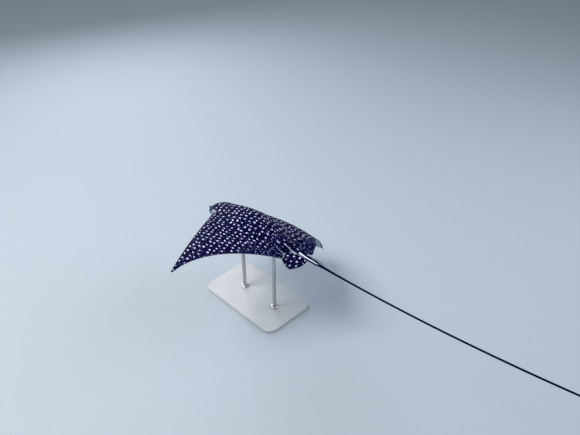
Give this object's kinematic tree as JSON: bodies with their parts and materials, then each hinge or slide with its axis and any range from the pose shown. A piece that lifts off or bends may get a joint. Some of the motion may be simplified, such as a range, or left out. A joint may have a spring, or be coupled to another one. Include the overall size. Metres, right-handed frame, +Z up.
{
  "type": "spotted eagle ray",
  "caption": "Life-size still model of an eagle ray gliding in a bank, long whip tail streaming behind, held over a flat display base by slim rods.",
  "frame": {"origin": "middle of the display stand's flat underside", "axes": "+Z up from the floor, +Y the way the ray swims, +X to the ray's right; the ray is banked about Y with its right wing down"},
  "size_m": [1.221, 3.457, 0.7134],
  "materials": {
    "skin": "smooth damp skin, near-black blue back with white spots and rings, white underside",
    "eye": "clear polished eye, dark iris and slit pupil",
    "sting": "dull bone, saw-toothed edges",
    "stand_base": "satin pale grey paint",
    "stand_rod": "brushed along the rod"
  },
  "bodies": {
    "root": {"head": "skin", "snout": "skin", "trunk": "skin", "wing_left": "skin", "wing_right": "skin", "eye_left": "eye", "eye_right": "eye", "pelvic_fin_left": "skin", "pelvic_fin_right": "skin", "dorsal_fin": "skin", "tail_base": "skin", "tail_front": "skin", "tail_middle": "skin", "tail_rear": "skin", "tail_tip": "skin", "sting_upper": "sting", "sting_lower": "sting", "stand_base": "stand_base", "stand_rod_front": "stand_rod", "stand_rod_rear": "stand_rod"}
  },
  "joints": []
}
